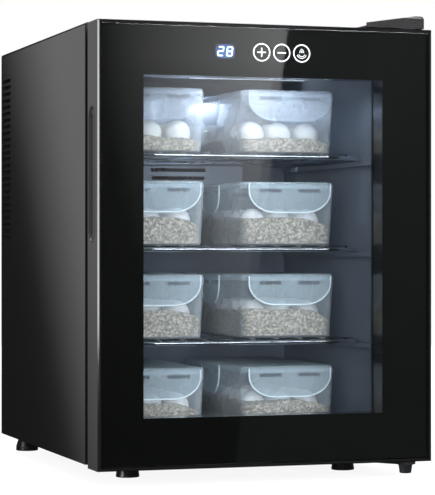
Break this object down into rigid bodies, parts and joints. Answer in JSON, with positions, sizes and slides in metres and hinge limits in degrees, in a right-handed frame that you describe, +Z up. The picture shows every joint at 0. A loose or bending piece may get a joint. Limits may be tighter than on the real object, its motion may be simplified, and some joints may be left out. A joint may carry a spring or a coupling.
{
  "type": "egg incubator",
  "caption": "Cabinet incubator: insulated box with a hinged glass door, wire shelves of lidded clear tubs holding eggs in vermiculite, and a fan-cooled heat pump behind.",
  "frame": {"origin": "centre of the overall box in plan, on the surface that the feet stand on", "axes": "+X to the right seen from the front, +Y from the door to the back, +Z up"},
  "size_m": [0.345, 0.47, 0.461],
  "materials": {
    "black_sheet": "satin",
    "black_steel": "matte",
    "zinc_sheet": "satin",
    "liner_plastic": "satin",
    "rigid_foam": "matte",
    "black_plastic": "matte",
    "gloss_black_plastic": "gloss",
    "foot_plastic": "satin",
    "screw_steel": "satin",
    "pin_steel": "satin",
    "door_glass": "gloss",
    "border_print": "gloss",
    "door_plastic": "satin",
    "seal_rubber": "matte",
    "bush_plastic": "matte",
    "circuit_board": "satin",
    "display": "gloss",
    "sink_aluminium": "satin",
    "module_ceramic": "matte",
    "fan_plastic": "satin",
    "lamp_lens": "satin",
    "shelf_wire": "polished",
    "clear_plastic": "gloss",
    "vermiculite": "matte",
    "egg_shell": "matte"
  },
  "bodies": {
    "cabinet": {"outer_wrap": "black_sheet", "base_plate": "black_steel", "inner_liner": "liner_plastic", "foam_insulation": "rigid_foam", "rear_bulkhead": "zinc_sheet", "rear_cover": "black_plastic", "rear_cover_screws": "screw_steel", "mains_inlet": "gloss_black_plastic", "power_board": "circuit_board", "rear_feet": "foot_plastic", "upper_hinge_bracket": "black_steel", "lower_hinge_bracket": "black_steel", "hinge_pins": "pin_steel", "hinge_screws": "screw_steel", "upper_hinge_cover": "gloss_black_plastic", "transfer_block": "sink_aluminium", "thermoelectric_module": "module_ceramic", "inner_heat_sink": "sink_aluminium", "outer_heat_sink": "sink_aluminium", "inner_fan_frame": "fan_plastic", "outer_fan_frame": "fan_plastic", "duct_cover": "liner_plastic", "duct_clips": "liner_plastic", "lamp_housing": "liner_plastic", "lamp_lens": "lamp_lens", "temperature_probe": "gloss_black_plastic", "level_1_tubs": "clear_plastic", "level_1_lids": "clear_plastic", "level_1_vermiculite": "vermiculite", "level_1_eggs": "egg_shell"},
    "door": {"door_frame": "door_plastic", "outer_glass": "door_glass", "glass_border": "border_print", "inner_glass": "door_glass", "door_liner": "liner_plastic", "door_foam": "rigid_foam", "door_seal": "seal_rubber", "handle_cup": "door_plastic", "control_board": "circuit_board", "display_module": "display", "hinge_bushes": "bush_plastic"},
    "shelf_2": {"shelf_2": "shelf_wire", "level_2_tubs": "clear_plastic", "level_2_lids": "clear_plastic", "level_2_vermiculite": "vermiculite", "level_2_eggs": "egg_shell"},
    "shelf_3": {"shelf_3": "shelf_wire", "level_3_tubs": "clear_plastic", "level_3_lids": "clear_plastic", "level_3_vermiculite": "vermiculite", "level_3_eggs": "egg_shell"},
    "shelf_4": {"shelf_4": "shelf_wire", "level_4_tubs": "clear_plastic", "level_4_lids": "clear_plastic", "level_4_vermiculite": "vermiculite", "level_4_eggs": "egg_shell"},
    "inner_fan": {"inner_fan_rotor": "fan_plastic"},
    "outer_fan": {"outer_fan_rotor": "fan_plastic"},
    "left_foot": {"left_front_foot": "foot_plastic"},
    "right_foot": {"right_front_foot": "foot_plastic"}
  },
  "joints": [
    {"name": "door_swing", "type": "hinge", "parent": "cabinet", "child": "door", "pos_m": [0.1525, -0.215, 0], "axis": [0, 0, 1], "range_deg": [0, 110]},
    {"name": "shelf_2_slide", "type": "slide", "parent": "cabinet", "child": "shelf_2", "axis": [0, -1, 0], "range_m": [0, 0.024]},
    {"name": "shelf_3_slide", "type": "slide", "parent": "cabinet", "child": "shelf_3", "axis": [0, -1, 0], "range_m": [0, 0.024]},
    {"name": "shelf_4_slide", "type": "slide", "parent": "cabinet", "child": "shelf_4", "axis": [0, -1, 0], "range_m": [0, 0.024]},
    {"name": "inner_fan_spin", "type": "hinge", "parent": "cabinet", "child": "inner_fan", "pos_m": [0, 0.069, 0.3155], "axis": [0, 1, 0], "continuous": true},
    {"name": "outer_fan_spin", "type": "hinge", "parent": "cabinet", "child": "outer_fan", "pos_m": [0, 0.173, 0.3155], "axis": [0, 1, 0], "continuous": true},
    {"name": "left_foot_screw", "type": "slide", "parent": "cabinet", "child": "left_foot", "axis": [0, 0, -1], "range_m": [0, 0.006]},
    {"name": "right_foot_screw", "type": "slide", "parent": "cabinet", "child": "right_foot", "axis": [0, 0, -1], "range_m": [0, 0.006]}
  ]
}
